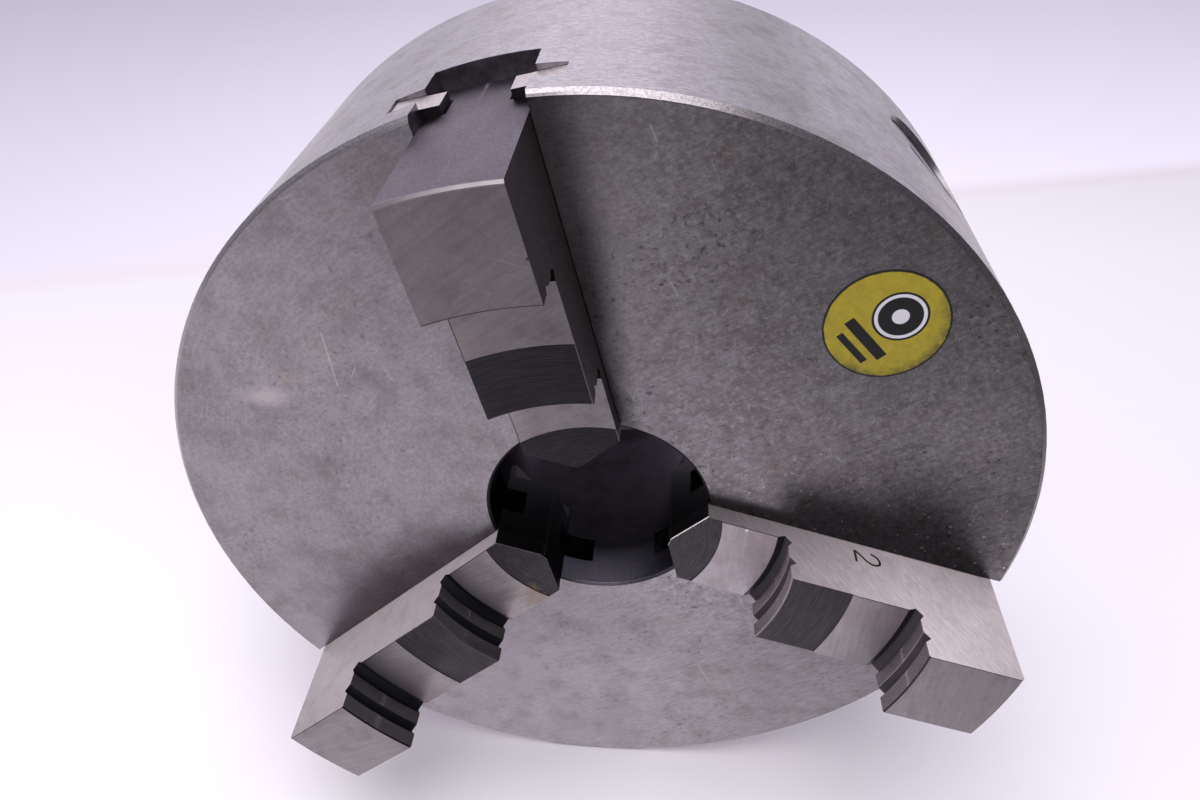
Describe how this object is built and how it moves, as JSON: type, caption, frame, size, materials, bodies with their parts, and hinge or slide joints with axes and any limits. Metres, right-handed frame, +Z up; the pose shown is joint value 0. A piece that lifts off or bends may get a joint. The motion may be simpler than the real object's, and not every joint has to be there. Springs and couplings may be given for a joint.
{
  "type": "lathe chuck",
  "caption": "Self-centring scroll chuck for a lathe: a key turns bevel pinions and a spiral plate that slides stepped outside jaws together; recess and bolt holes for a spindle flange behind.",
  "frame": {"origin": "centre of the rear mounting plane, on the spindle axis", "axes": "+Y along the spindle axis towards the machine, so the jaws face -Y; +Z up; jaw 1 points 14 degrees anticlockwise of +Z seen from the front"},
  "size_m": [0.2, 0.104, 0.2],
  "materials": {
    "body_iron": "fine turned and ground, with handling stains",
    "cover_iron": "turned",
    "scroll_steel": "milled, oiled",
    "badge_enamel": "satin enamel",
    "screw_steel": "black oxide",
    "pinion_steel": "turned",
    "jaw_steel": "hardened and ground",
    "strip_steel": "ground"
  },
  "bodies": {
    "housing": {"chuck_body": "body_iron", "back_cover": "cover_iron", "badge_plate": "badge_enamel", "cover_screw_1": "screw_steel", "cover_screw_2": "screw_steel", "cover_screw_3": "screw_steel", "cover_screw_4": "screw_steel", "cover_screw_5": "screw_steel", "cover_screw_6": "screw_steel", "pinion_retaining_screw_1": "screw_steel", "pinion_retaining_screw_2": "screw_steel", "pinion_retaining_screw_3": "screw_steel", "guide_strip_1_left": "strip_steel", "guide_strip_1_right": "strip_steel", "guide_strip_2_left": "strip_steel", "guide_strip_2_right": "strip_steel", "guide_strip_3_left": "strip_steel", "guide_strip_3_right": "strip_steel"},
    "scroll": {"scroll_plate": "scroll_steel"},
    "pinion_1": {"pinion_1": "pinion_steel"},
    "jaw_1": {"jaw_1": "jaw_steel"},
    "pinion_2": {"pinion_2": "pinion_steel"},
    "jaw_2": {"jaw_2": "jaw_steel"},
    "pinion_3": {"pinion_3": "pinion_steel"},
    "jaw_3": {"jaw_3": "jaw_steel"}
  },
  "joints": [
    {"name": "scroll_spin", "type": "hinge", "parent": "housing", "child": "scroll", "pos_m": [0, 0, 0], "axis": [0, 1, 0], "range_deg": [-720, 1170]},
    {"name": "pinion_1_spin", "type": "hinge", "parent": "housing", "child": "pinion_1", "pos_m": [0, -0.029, 0], "axis": [0.7193, 0, 0.6947], "range_deg": [-3961, 6436]},
    {"name": "jaw_1_slide", "type": "slide", "parent": "housing", "child": "jaw_1", "axis": [-0.2419, 0, 0.9703], "range_m": [-0.0161, 0.0261]},
    {"name": "pinion_2_spin", "type": "hinge", "parent": "housing", "child": "pinion_2", "pos_m": [0, -0.029, 0], "axis": [0.2419, 0, -0.9703], "range_deg": [-3961, 6436]},
    {"name": "jaw_2_slide", "type": "slide", "parent": "housing", "child": "jaw_2", "axis": [0.9613, 0, -0.2756], "range_m": [-0.0161, 0.0261]},
    {"name": "pinion_3_spin", "type": "hinge", "parent": "housing", "child": "pinion_3", "pos_m": [0, -0.029, 0], "axis": [-0.9613, 0, 0.2756], "range_deg": [-3961, 6436]},
    {"name": "jaw_3_slide", "type": "slide", "parent": "housing", "child": "jaw_3", "axis": [-0.7193, 0, -0.6947], "range_m": [-0.0161, 0.0261]}
  ],
  "couplings": [
    {"joint": "pinion_1_spin", "follows": "scroll_spin", "ratio": 5.5},
    {"joint": "jaw_1_slide", "follows": "scroll_spin", "m_per_rad": 0.0012732},
    {"joint": "pinion_2_spin", "follows": "scroll_spin", "ratio": 5.5},
    {"joint": "jaw_2_slide", "follows": "scroll_spin", "m_per_rad": 0.0012732},
    {"joint": "pinion_3_spin", "follows": "scroll_spin", "ratio": 5.5},
    {"joint": "jaw_3_slide", "follows": "scroll_spin", "m_per_rad": 0.0012732}
  ]
}
